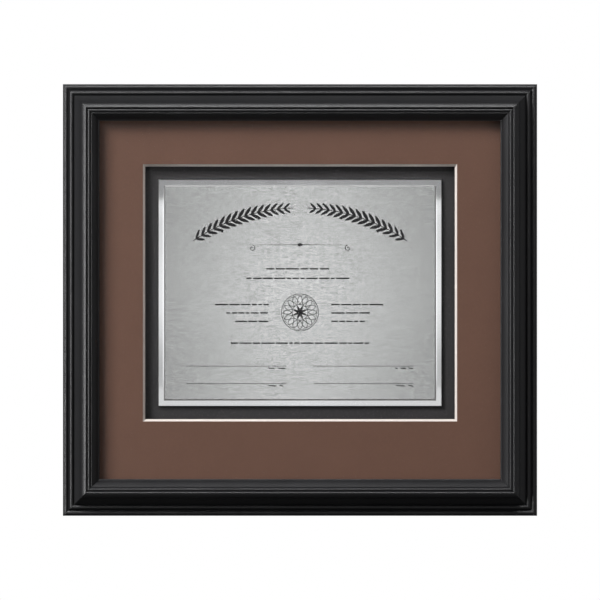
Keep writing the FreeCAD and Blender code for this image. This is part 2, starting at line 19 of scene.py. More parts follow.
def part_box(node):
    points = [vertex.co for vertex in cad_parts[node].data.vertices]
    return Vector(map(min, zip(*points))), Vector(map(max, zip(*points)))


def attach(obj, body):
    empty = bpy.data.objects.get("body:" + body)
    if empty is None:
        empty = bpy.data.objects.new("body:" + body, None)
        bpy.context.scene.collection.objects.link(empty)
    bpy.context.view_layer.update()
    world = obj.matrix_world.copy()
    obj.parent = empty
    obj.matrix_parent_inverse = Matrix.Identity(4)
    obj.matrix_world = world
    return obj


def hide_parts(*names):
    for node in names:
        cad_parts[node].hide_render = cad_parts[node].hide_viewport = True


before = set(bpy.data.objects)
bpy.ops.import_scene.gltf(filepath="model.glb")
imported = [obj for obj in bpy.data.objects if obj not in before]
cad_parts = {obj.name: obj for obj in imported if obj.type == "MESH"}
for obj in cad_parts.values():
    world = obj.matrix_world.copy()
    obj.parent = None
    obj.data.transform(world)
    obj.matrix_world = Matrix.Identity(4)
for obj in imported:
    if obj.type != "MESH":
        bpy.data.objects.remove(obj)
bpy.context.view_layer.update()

MM = 0.001
PER_MM = 1000.0
SAME_POINT = 1e-7
SAME_LEVEL = 1e-6
QUARTER_TURN = math.radians(90.0)
ROOT = "frame"
MATT_FACE = ("rail_top", "rail_bottom", "rail_left", "rail_right", "window_mat", "mount_board")
LOG = logging.getLogger("certificate_frame")

Colour = tuple[float, float, float, float]
Point = tuple[float, float, float]
Flat = tuple[float, float]
Test = Callable[[Any], bool]
Object = bpy.types.Object
Material = bpy.types.Material


class Slot(Enum):
    """Names of material slots that the new pieces are passed with; nothing reads them."""

    STEEL = "steel_hardware"
    BRUSHED = "brushed_metal"
    RUBBER = "rubber"


class Seen(Enum):
    """Which surfaces a lamp lights: all, only glossy ones or only matt ones."""

    ALL = "all"
    SHEEN = "sheen"
    MATT = "matt"


class Run(Enum):
    """Which way a rail, and the grain of its wood, runs."""

    ACROSS = "across"
    UP = "up"


# Shader maths


def maths(operation: str, swapped: bool = False) -> Callable[..., "Signal"]:
    """Makes an arithmetic method that adds a Math node.

    Args:
        operation: The node's operation.
        swapped: Whether the signal is the second operand.

    Returns:
        The method, which takes the other operand.
    """

    def method(self: "Signal", other: "Operand" = 0.0) -> "Signal":
        """Puts this signal and another through the operation."""
        values = {0: other, 1: self} if swapped else {0: self, 1: other}
        return self.recipe.node("Math", values, operation=operation)

    return method


class Signal:
    """One output of a shader tree, on which Python's arithmetic adds Math nodes."""

    def __init__(self, recipe: "Recipe", socket: bpy.types.NodeSocket) -> None:
        """Wraps an output socket of a recipe."""
        self.recipe = recipe
        self.socket = socket

    __add__ = maths("ADD")
    __radd__ = maths("ADD", True)
    __sub__ = maths("SUBTRACT")
    __rsub__ = maths("SUBTRACT", True)
    __mul__ = maths("MULTIPLY")
    __rmul__ = maths("MULTIPLY", True)
    __truediv__ = maths("DIVIDE")
    __pow__ = maths("POWER")
    __abs__ = maths("ABSOLUTE")
    over = maths("MAXIMUM")
    under = maths("MINIMUM")
    sine = maths("SINE")

    def ramp(self, low: float, high: float, start: float = 0.0, end: float = 1.0) -> "Signal":
        """A smooth step from start, where this is low, to end, where this is high."""
        values = {0: self, 1: low, 2: high, 3: start, 4: end}
        return self.recipe.node("MapRange", values, interpolation_type="SMOOTHSTEP", clamp=True)


Operand = Union[Signal, float]


class Recipe:
    """A node tree in the making: one way to add nodes, and the few patterns that the finishes share."""

    def __init__(self, name: str, kind: str = "materials") -> None:
        """Starts an empty tree.

        Args:
            name: The name of the material or world that it belongs to.
            kind: Where in bpy.data that goes.
        """
        self.owner = getattr(bpy.data, kind).new(name)
        self.owner.use_nodes = True
        self.tree = self.owner.node_tree
        self.tree.nodes.clear()

    def node(
        self,
        kind: str,
        inputs: Optional[Mapping[Union[int, str], Any]] = None,
        output: Union[int, str] = 0,
        **settings: Any,
    ) -> Signal:
        """Adds any node.

        Args:
            kind: The node's type, without its prefix.
            inputs: Values or links of its sockets, by index or name.
            output: Which output to return.
            settings: Properties of the node, which are set first.

        Returns:
            The chosen output, or a bare signal for a node that ends the tree.
        """
        made = self.tree.nodes.new(f"ShaderNode{kind}")
        for key, value in settings.items():
            setattr(made, key, value)
        for key, value in (inputs or {}).items():
            if isinstance(value, Signal):
                self.tree.links.new(value.socket, made.inputs[key])
            else:
                made.inputs[key].default_value = value
        return Signal(self, made.outputs[output] if len(made.outputs) else None)

    def scaled(self, vector: Any, amount: Operand) -> Signal:
        """A vector or colour times a factor."""
        return self.node("VectorMath", {0: vector, "Scale": amount}, operation="SCALE")

    def tone(self, amount: Operand, colour: Colour) -> Signal:
        """A colour made lighter or darker by a factor."""
        return self.scaled(colour[:3], amount)

    def place(self) -> Signal:
        """The point on the piece, in millimetres of the frame."""
        return self.scaled(self.node("TexCoord", output="Object"), PER_MM)

    def axes(self) -> tuple[Signal, Signal, Signal]:
        """The point's X, Y and Z, in millimetres."""
        outputs = self.node("SeparateXYZ", {0: self.place()}).socket.node.outputs
        return tuple(Signal(self, output) for output in outputs)

    def noise(self, per_mm: Any, detail: float = 2.0, roughness: float = 0.5, shift: float = 0.0) -> Signal:
        """Noise, stretched along the axes where three numbers are given.

        Args:
            per_mm: How many of its cells lie along a millimetre.
            detail: How many finer layers it has.
            roughness: How strong the finer layers are.
            shift: A step that gives another patch of the same noise.

        Returns:
            A value about a half, from 0 to 1.
        """
        cells = per_mm if isinstance(per_mm, tuple) else (per_mm,) * 3
        moved = {"Vector": self.place(), "Location": (shift,) * 3, "Scale": cells}
        vector = self.node("Mapping", moved, vector_type="POINT")
        values = {"Vector": vector, "Scale": 1.0, "Detail": detail, "Roughness": roughness}
        return self.node("TexNoise", values)

    def mix(self, factor: Operand, first: Any, second: Any) -> Signal:
        """The first colour with a share of the second."""
        return self.node("Mix", {0: factor, 6: first, 7: second}, 2, data_type="RGBA")

    def bump(self, height: Signal, depth: float, below: Optional[Signal] = None) -> Signal:
        """Relief of a real depth.

        Args:
            height: The relief, from 0 to 1.
            depth: What 1 stands for, in millimetres.
            below: Relief that this one lies on.

        Returns:
            The surface's normal.
        """
        values = {"Height": height, "Distance": depth * MM, "Strength": 1.0}
        if below is not None:
            values["Normal"] = below
        return self.node("Bump", values)

    def shade(self, colour: Any, roughness: Operand, **more: Any) -> Material:
        """Ends the material with a Principled shader.

        Args:
            colour: Its base colour.
            roughness: Its roughness.
            more: Its other sockets: normal, alpha, metallic or specular.

        Returns:
            The finished material.
        """
        values = {"Base Color": colour, "Roughness": roughness}
        for key, value in more.items():
            values["Specular IOR Level" if key == "specular" else key.title()] = value
        return self.end(self.node("BsdfPrincipled", values))

    def end(self, surface: Signal, kind: str = "Material") -> Any:
        """Ends the tree with what it shows, and gives back what the tree belongs to."""
        self.node(f"Output{kind}", {"Surface": surface})
        return self.owner


# Finishes


class Finish:
    """What a surface is finished with."""

    def material(self) -> Material:
        """Makes the finish's material.

        Returns:
            The material.
        """
        raise NotImplementedError


@dataclass(frozen=True)
class PaintedMoulding(Finish):
    """Satin black paint on moulded wood, bare at the back, with a hairline at each mitre."""

    run: Run
    half_width: float
    half_height: float
    back: float
    crest_inset: float = 21.1
    paint: Colour = (0.0060, 0.0060, 0.0068, 1.0)
    rubbed: Colour = (0.030, 0.024, 0.020, 1.0)
    crack: Colour = (0.002, 0.002, 0.002, 1.0)
    wood: Colour = (0.50, 0.335, 0.185, 1.0)
    dark_wood: Colour = (0.34, 0.205, 0.105, 1.0)
    wood_crack: Colour = (0.05, 0.03, 0.02, 1.0)
    gloss: float = 0.40
    bare_gloss: float = 0.78
    dry_side: float = 0.35
    specular: float = 0.115
    relief: float = 0.016

    def grain(self, along: float, across: float) -> Point:
        """Noise cells per millimetre of X, Y and Z for a grain that runs the rail's way."""
        return (along, across, across) if self.run is Run.ACROSS else (across, across, along)

    def material(self) -> Material:
        """See base class."""
        make = Recipe(f"painted_moulding_{self.run.value}")
        x, y, z = make.axes()
        inset = self.half_height - abs(z) if self.run is Run.ACROSS else self.half_width - abs(x)
        grain = make.noise(self.grain(0.012, 0.9), 4.0, 0.55)
        pores = make.noise(self.grain(0.05, 3.2), 2.0, 0.6, 40.0)
        drift = make.noise(0.02, shift=9.0)
        fine = make.noise(1.6, shift=3.0)
        scuffs = make.noise(0.11, 5.0, 0.7, 70.0).ramp(0.62, 0.74)

        mitre = abs(abs(x) - abs(z) - (self.half_width - self.half_height))
        seam = mitre.ramp(0.10, 0.34, 1.0, 0.0)
        crest = abs(inset - self.crest_inset).ramp(0.2, 1.1, 1.0, 0.0)
        rubbed = (crest * scuffs * 0.55).under(1.0)

        overspray = (fine - 0.5) * 2.4 + (drift - 0.5) * 6.0
        bare = (y - self.back).ramp(-0.25, -0.05) * (inset + overspray).ramp(1.3, 2.2)
        paint = make.mix(rubbed, make.tone(0.82 + drift * 0.36, self.paint), self.rubbed)
        paint = make.mix(seam * 0.7, paint, self.crack)
        streak = (grain.ramp(0.40, 0.66) * 0.75 + pores.ramp(0.5, 0.75) * 0.35).under(1.0)
        wood = make.mix(streak, self.wood, self.dark_wood)
        wood = make.mix(seam * 0.8, wood, self.wood_crack)

        roughness = self.gloss + (drift - 0.5) * 0.10 + (fine - 0.5) * 0.06 - crest * 0.05 + rubbed * 0.2
        roughness = roughness + inset.ramp(0.4, 0.05) * self.dry_side
        roughness = roughness * (1.0 - bare) + bare * self.bare_gloss
        height = (fine - 0.5) * 0.12 + grain * (0.02 + bare * 1.7) + pores * bare * 1.2 - seam * 2.2
        colour = make.mix(bare, paint, wood)
        return make.shade(colour, roughness, normal=make.bump(height, self.relief), specular=self.specular)


@dataclass(frozen=True)
class MatBoard(Finish):
    """Brown paper face on a cream core, which the window's bevel lays bare."""

    window_half_width: float
    window_half_height: float
    window_middle: float
    face: Colour = (0.130, 0.0680, 0.0475, 1.0)
    core: Colour = (0.62, 0.560, 0.522, 1.0)
    relief: float = 0.035

    def material(self) -> Material:
        """See base class."""
        make = Recipe("mat_board")
        x, y, z = make.axes()
        beside = abs(x) - self.window_half_width
        on_face = beside.over(abs(z - self.window_middle) - self.window_half_height).ramp(-0.06, 0.02)
        fibre_across = make.noise((0.35, 0.35, 1.5), 3.0, 0.6)
        fibre_up = make.noise((1.5, 0.35, 0.35), 3.0, 0.6, 21.0)
        cloud = make.noise(0.03, 3.0, shift=5.0)
        speck = make.noise(2.2, 1.0, shift=33.0).ramp(0.60, 0.72)
        weave = fibre_across * 0.5 + fibre_up * 0.5
        amount = 1.0 + (weave - 0.5) * 0.34 + (cloud - 0.5) * 0.16 - speck * 0.10
        core = make.tone(0.94 + (weave - 0.5) * 0.2, self.core)
        colour = make.mix(on_face, core, make.tone(amount, self.face))
        normal = make.bump(weave + speck * 0.3, self.relief)
        return make.shade(colour, 0.82 + (weave - 0.5) * 0.16, normal=normal, specular=0.06)


@dataclass(frozen=True)
class Board(Finish):
    """Paper-faced or fibre board: a colour, clouded, with fine fibres."""

    name: str
    face: Colour
    fibre: Colour
    contrast: float = 0.3
    cells: float = 0.6
    relief: float = 0.03

    def material(self) -> Material:
        """See base class."""
        make = Recipe(self.name)
        fibre = make.noise(self.cells, 4.0, 0.62)
        cloud = make.noise(0.025, 3.0, shift=12.0)
        face = make.tone(1.0 + (cloud - 0.5) * self.contrast, self.face)
        colour = make.mix(fibre.ramp(0.45, 0.70), face, self.fibre)
        normal = make.bump(fibre, self.relief)
        return make.shade(colour, 0.82 + (fibre - 0.5) * 0.14, normal=normal, specular=0.08)


@dataclass(frozen=True)
class ScreenBackedHardboard(Finish):
    """Pressed hardboard, rough side out: brown fibres, the print of the press's wire screen and painted shade
    in its hollows.
    """

    pitch: float = 1.7
    face: Colour = (0.245, 0.137, 0.068, 1.0)
    fibre: Colour = (0.36, 0.225, 0.120, 1.0)
    flake: Colour = (0.105, 0.055, 0.028, 1.0)
    # Colour of the painted shade laid into the hollows of the screen's print.
    painted_hollow_shade: Colour = (0.08, 0.04, 0.02, 1.0)
    relief: float = 0.16

    def material(self) -> Material:
        """See base class."""
        make = Recipe("screen_backed_hardboard")
        x, y, z = make.axes()
        turn = 2.0 * math.pi / self.pitch
        screen = (x * turn).sine() * (z * turn).sine() * 0.5 + 0.5
        fibre = make.noise((0.28, 0.28, 0.9), 4.0, 0.65)
        cross = make.noise((0.9, 0.28, 0.28), 4.0, 0.65, 17.0)
        flake = make.noise(0.16, 3.0, 0.6, 51.0).ramp(0.60, 0.72)
        cloud = make.noise(0.012, 3.0, shift=4.0)
        strands = fibre.ramp(0.45, 0.72) * 0.5 + cross.ramp(0.45, 0.72) * 0.5
        colour = make.mix(strands, make.tone(0.80 + cloud * 0.4, self.face), self.fibre)
        colour = make.mix(flake * 0.55, colour, self.flake)
        # Painted shade: the colour darkens where the screen's print is hollow.
        colour = make.mix((1.0 - screen) * 0.22, colour, self.painted_hollow_shade)
        normal = make.bump(screen * 0.8 + strands * 0.5, self.relief)
        return make.shade(colour, 0.80 + (fibre - 0.5) * 0.16, normal=normal, specular=0.2)


@dataclass(frozen=True)
class BrushedPanel(Finish):
    """Metal brushed along its length, with a satin bevel round it.

    The scratches' relief spreads what the metal mirrors up and down, not sideways.
    """

    half_width: float
    half_height: float
    middle: float
    bevel: float = 1.2
    metal: Colour = (0.345, 0.350, 0.348, 1.0)
    satin: Colour = (0.27, 0.27, 0.27, 1.0)
    gloss: float = 0.075
    satin_gloss: float = 0.42
    scratch_depth: float = 0.0092

    def material(self) -> Material:
        """See base class."""
        make = Recipe("brushed_metal")
        x, y, z = make.axes()
        inward = (self.half_width - abs(x)).under(self.half_height - abs(z - self.middle))
        edge = inward.ramp(self.bevel - 0.05, self.bevel + 0.05, 1.0, 0.0)
        broad = make.noise((0.010, 0.6, 0.6), 3.0, 0.6)
        hair = make.noise((0.150, 11.0, 11.0), 1.0, shift=15.0)
        nick = make.noise((0.075, 4.5, 4.5), 1.0, shift=60.0).ramp(0.70, 0.82)
        haze = make.noise(0.012, shift=31.0)
        streak = broad * 0.35 + hair * 0.65
        amount = 1.0 + (streak - 0.5) * 0.05 - nick * 0.02 + (haze - 0.5) * 0.04
        colour = make.mix(edge, make.tone(amount, self.metal), self.satin)
        roughness = self.gloss + (streak - 0.5) * 0.02 + nick * 0.03
        roughness = roughness * (1.0 - edge) + edge * self.satin_gloss
        normal = make.bump(hair * (1.0 - edge), self.scratch_depth)
        return make.shade(colour, roughness, normal=normal, metallic=1.0)


@dataclass(frozen=True)
class PolishedRim(Finish):
    """Polished plate whose rim swells a little at its sides, and catches the light as a drawn edge does."""

    half_width: float
    half_height: float
    middle: float
    rim: float
    metal: Colour = (0.89, 0.90, 0.91, 1.0)
    gloss: float = 0.03
    swell: float = 0.02
    fade: float = 14.0
    wipe_depth: float = 0.0003

    def material(self) -> Material:
        """See base class."""
        make = Recipe("polished_metal")
        x, y, z = make.axes()
        across = ((self.half_width - abs(x)) / self.rim).under(1.0).over(0.0)
        below_corner = (self.half_height - self.rim - abs(z - self.middle)).ramp(0.0, self.fade)
        profile = across * (1.0 - across) * below_corner * 4.0
        wipe = make.noise(0.9)
        haze = make.noise(0.05, 3.0, shift=8.0)
        colour = make.tone(0.97 + (haze - 0.5) * 0.05, self.metal)
        roughness = self.gloss + (haze - 0.5) * 0.02 + (wipe - 0.5) * 0.01
        normal = make.bump(wipe, self.wipe_depth, make.bump(profile, self.swell))
        return make.shade(colour, roughness, normal=normal, metallic=1.0)


@dataclass(frozen=True)
class PlatedSteel(Finish):
    """Nickel plate on stamped or drawn steel, rubbed brighter in places."""

    name: str = "plated_steel"
    gloss: float = 0.24
    metal: Colour = (0.50, 0.490, 0.468, 1.0)
    dull: Colour = (0.27, 0.260, 0.243, 1.0)
    relief: float = 0.006

    def material(self) -> Material:
        """See base class."""
        make = Recipe(self.name)
        cloud = make.noise(0.22, 4.0, 0.6)
        pits = make.noise(1.9, 2.0, 0.6, 23.0).ramp(0.60, 0.78)
        scratch = make.noise((0.5, 7.0, 7.0), shift=44.0)
        dull = (cloud.ramp(0.46, 0.72) * 0.6 + pits * 0.5).under(1.0)
        roughness = self.gloss + dull * 0.20 + (scratch - 0.5) * 0.10
        normal = make.bump(scratch * 0.6 - pits * 0.5, self.relief)
        return make.shade(make.mix(dull, self.metal, self.dull), roughness, normal=normal, metallic=1.0)


@dataclass(frozen=True)
class Moulded(Finish):
    """A matt moulded or filled material: rubber, foam tape or the black fill of the etching."""

    name: str
    colour: Colour
    roughness: float = 0.7
    specular: float = 0.3
    cells: float = 1.4
    relief: float = 0.02

    def material(self) -> Material:
        """See base class."""
        make = Recipe(self.name)
        grain = make.noise(self.cells, 3.0, 0.6)
        cloud = make.noise(0.08, shift=6.0)
        colour = make.tone(0.85 + cloud * 0.3 + (grain - 0.5) * 0.2, self.colour)
        roughness = self.roughness + (grain - 0.5) * 0.16
        return make.shade(colour, roughness, normal=make.bump(grain, self.relief), specular=self.specular)


@dataclass(frozen=True)
class ClearGlazing(Finish):
    """Clear, low-glare picture glazing: all but unseen from the front, and glossy from the side."""

    tint: Colour = (0.012, 0.016, 0.015, 1.0)
    edge_on: float = 0.34
    front_on: float = 0.006

    def material(self) -> Material:
        """See base class."""
        make = Recipe("clear_glazing")
        facing = make.node("LayerWeight", {"Blend": 0.5}, "Facing")
        smear = make.noise(0.015, 3.0)
        alpha = self.front_on + facing ** 3.0 * self.edge_on
        return make.shade(self.tint, 0.05 + (smear - 0.5) * 0.04, alpha=alpha)


# Modelling


class Piece:
    """A new mesh object, with the modelling steps that the pieces share."""

    def __init__(self, made: Object) -> None:
        """Wraps an object."""
        self.made = made

    @staticmethod
    def clear() -> None:
        """Deselects everything, so that an operator acts on its own piece alone."""
        if bpy.context.object and bpy.context.object.mode != "OBJECT":
            bpy.ops.object.mode_set(mode="OBJECT")
        bpy.ops.object.select_all(action="DESELECT")

    @classmethod
    def add(cls, operator: Callable[..., Any], name: str, **sizes: Any) -> "Piece":
        """Adds a primitive.

        Args:
            operator: The operator that adds it.
            name: The piece's name.
            sizes: The operator's sizes.

        Returns:
            The new piece.
        """
        cls.clear()
        operator(**sizes)
        return cls(bpy.context.object).named(name)

    @classmethod
    def wire(cls, name: str, points: Sequence[Point], radius: float, closed: bool, sides: int) -> "Piece":
        """A round wire along points, as a closed mesh.

        Args:
            name: The piece's name.
            points: The points that it follows, in metres.
            radius: The wire's radius, in metres.
            closed: Whether it runs back to its start.
            sides: How finely its section is divided.

        Returns:
            The wire.
        """
        curve = bpy.data.curves.new(name, "CURVE")
        curve.dimensions = "3D"
        curve.bevel_depth = radius
        curve.bevel_resolution = sides
        curve.use_fill_caps = True
        spline = curve.splines.new("POLY")
        spline.points.add(len(points) - 1)
        for knot, point in zip(spline.points, points):
            knot.co = (*point, 1.0)
        spline.use_cyclic_u = closed
        drawn = cls(bpy.data.objects.new(name, curve))
        bpy.context.collection.objects.link(drawn.made)
        drawn.take()
        bpy.ops.object.convert(target="MESH")
        piece = cls(bpy.context.object)
        piece.edit()
        piece.close()
        return piece

    @classmethod
    def join(cls, pieces: Sequence["Piece"], name: str) -> "Piece":
        """Joins pieces into one.

        Args:
            pieces: The pieces.
            name: The name of the result.

        Returns:
            The joined piece.
        """
        pieces[0].take()
        for piece in pieces[1:]:
            piece.made.select_set(True)
        if len(pieces) > 1:
            bpy.ops.object.join()
        return cls(bpy.context.object).named(name)

    def named(self, name: str) -> "Piece":
        """Names the object and its mesh, and gives the piece back."""
        self.made.name = self.made.data.name = name
        return self

    def take(self) -> None:
        """Makes this the only piece selected."""
        self.clear()
        self.made.select_set(True)
        bpy.context.view_layer.objects.active = self.made

    def edit(self) -> None:
        """Opens the piece in edit mode with nothing selected."""
        self.take()
        bpy.ops.object.mode_set(mode="EDIT")
        bpy.ops.mesh.select_all(action="DESELECT")

    def pick(self, kind: str, test: Test) -> None:
        """Selects what passes a test, with the piece open in edit mode.

        Args:
            kind: FACE, EDGE or VERT.
            test: Says whether an element is wanted.
        """
        bpy.ops.mesh.select_all(action="DESELECT")
        bpy.ops.mesh.select_mode(type=kind)
        mesh = bmesh.from_edit_mesh(self.made.data)
        for element in {"FACE": mesh.faces, "EDGE": mesh.edges, "VERT": mesh.verts}[kind]:
            if test(element):
                element.select_set(True)
        mesh.select_flush_mode()
        bmesh.update_edit_mesh(self.made.data)

    def close(self) -> None:
        """Merges doubles, turns all faces outwards and leaves edit mode."""
        bpy.ops.mesh.select_all(action="SELECT")
        bpy.ops.mesh.remove_doubles(threshold=SAME_POINT)
        bpy.ops.mesh.normals_make_consistent(inside=False)
        bpy.ops.object.mode_set(mode="OBJECT")

    def settle(self) -> None:
        """Puts the piece's place, turn and scale into its mesh."""
        self.take()
        bpy.ops.object.transform_apply(location=True, rotation=True, scale=True)

    def move(self, matrix: Matrix) -> None:
        """Moves the mesh's points."""
        self.made.data.transform(matrix)

    def soften(self, radius: float, test: Test, segments: int = 5) -> None:
        """Rounds edges and closes the piece.

        Args:
            radius: How far the rounding reaches, in metres.
            test: Says whether a point belongs to such an edge.
            segments: How many flats the rounding has.
        """
        self.settle()
        self.edit()
        self.pick("EDGE", lambda e: all(test(v.co) for v in e.verts))
        bpy.ops.mesh.bevel(offset=radius, segments=segments, profile=0.5, affect="EDGES")
        self.close()

    def copies(self, name: str, places: Sequence[Matrix]) -> "Piece":
        """Sets copies of the piece at places, joins them and drops the piece itself.

        Args:
            name: The joined piece's name.
            places: Where each copy goes.

        Returns:
            The joined piece.
        """
        made = []
        for place in places:
            copy = self.made.copy()
            copy.data = self.made.data.copy()
            copy.data.transform(place)
            bpy.context.collection.objects.link(copy)
            made.append(Piece(copy))
        bpy.data.objects.remove(self.made)
        return Piece.join(made, name)

    def finish(self, material: Material, body: str, slot: Slot, angle: float = 35.0) -> None:
        """Smooths and dresses the piece, and hangs it on its body.

        Args:
            material: Its material.
            body: The CAD body that it rides on.
            slot: Not used.
            angle: Edges sharper than this stay sharp, in degrees.
        """
        self.take()
        bpy.ops.object.shade_smooth_by_angle(angle=math.radians(angle))
        self.made.data.materials.clear()
        self.made.data.materials.append(material)
        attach(self.made, body)
        LOG.info("%s on %s: %d faces", self.made.name, body, len(self.made.data.polygons))


def dress(nodes: Sequence[str], finish: Finish) -> Material:
    """Gives CAD nodes a finish.

    Args:
        nodes: The nodes' names.
        finish: Their finish.

    Returns:
        The finish's material.
    """
    material = finish.material()
    for name in nodes:
        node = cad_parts[name]
        node.data.materials.clear()
        node.data.materials.append(material)
        LOG.info("%s dressed in %s", name, material.name)
    return material


def box_mm(node: str) -> tuple[Vector, Vector]:
    """The lowest and highest corners of a CAD node's box, in millimetres."""
    low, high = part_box(node)
    return low * PER_MM, high * PER_MM


def extents(node: str) -> tuple[float, float, float]:
    """A CAD node's half width, half height and the height of its middle, in millimetres."""
    low, high = box_mm(node)
    return high.x, (high.z - low.z) / 2.0, (high.z + low.z) / 2.0


def polar(up: float, radius: float, turn: float) -> Flat:
    """A point round a centre on the middle line: a turn in radians, clockwise from straight up."""
    return radius * math.sin(turn), up + radius * math.cos(turn)


# Sub-assemblies


@dataclass
class Moulding:
    """The four mitred rails and the nails that join them."""

    across: tuple[str, ...] = ("rail_top", "rail_bottom")
    upright: tuple[str, ...] = ("rail_left", "rail_right")

    def build(self) -> None:
        """Dresses the rails and their nails."""
        right = box_mm("rail_right")[1]
        top = box_mm("rail_top")[1]
        for run, rails in ((Run.ACROSS, self.across), (Run.UP, self.upright)):
            dress(rails, PaintedMoulding(run, right.x, top.z, top.y))
        dress(["corner_v_nails"], PlatedSteel("nail_steel", 0.38))


@dataclass
class SheetPack:
    """What lies in the rabbet between the lip and the turn buttons."""

    black_paper: Colour = (0.0280, 0.0262, 0.0276, 1.0)
    black_fibre: Colour = (0.0350, 0.0332, 0.0342, 1.0)
    white_foam: Colour = (0.80, 0.79, 0.76, 1.0)
    grey_fibre: Colour = (0.70, 0.69, 0.66, 1.0)
    tape: Colour = (0.70, 0.70, 0.66, 1.0)

    def window(self) -> tuple[float, float, float]:
        """Reads the mat's window off its mesh, at the face.

        Returns:
            Half its width, half its height and the height of its middle, in millimetres.
        """
        low, high = box_mm("window_mat")
        near = (high.x - low.x) * 1e-3
        points = [vertex.co * PER_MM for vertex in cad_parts["window_mat"].data.vertices]
        face = [p for p in points if abs(p.y - low.y) < near]
        rim = [p for p in face if abs(p.x) < high.x - near and abs(p.z) < high.z - near]
        top = max(p.z for p in rim)
        bottom = min(p.z for p in rim)
        return max(abs(p.x) for p in rim), (top - bottom) / 2.0, (top + bottom) / 2.0

    def build(self) -> None:
        """Dresses the sheets and strips."""
        dress(["glazing_sheet"], ClearGlazing())
        dress(["window_mat"], MatBoard(*self.window()))
        dress(["mount_board"], Board("black_paper", self.black_paper, self.black_fibre))
        strips = [f"spacer_strip_{side}" for side in ("top", "bottom", "left", "right")]
        dress(strips, Board("foam_board", self.white_foam, self.grey_fibre, 0.1))
        dress(["plate_tape_pads"], Moulded("foam_tape", self.tape))
        dress(["backing_board"], ScreenBackedHardboard())


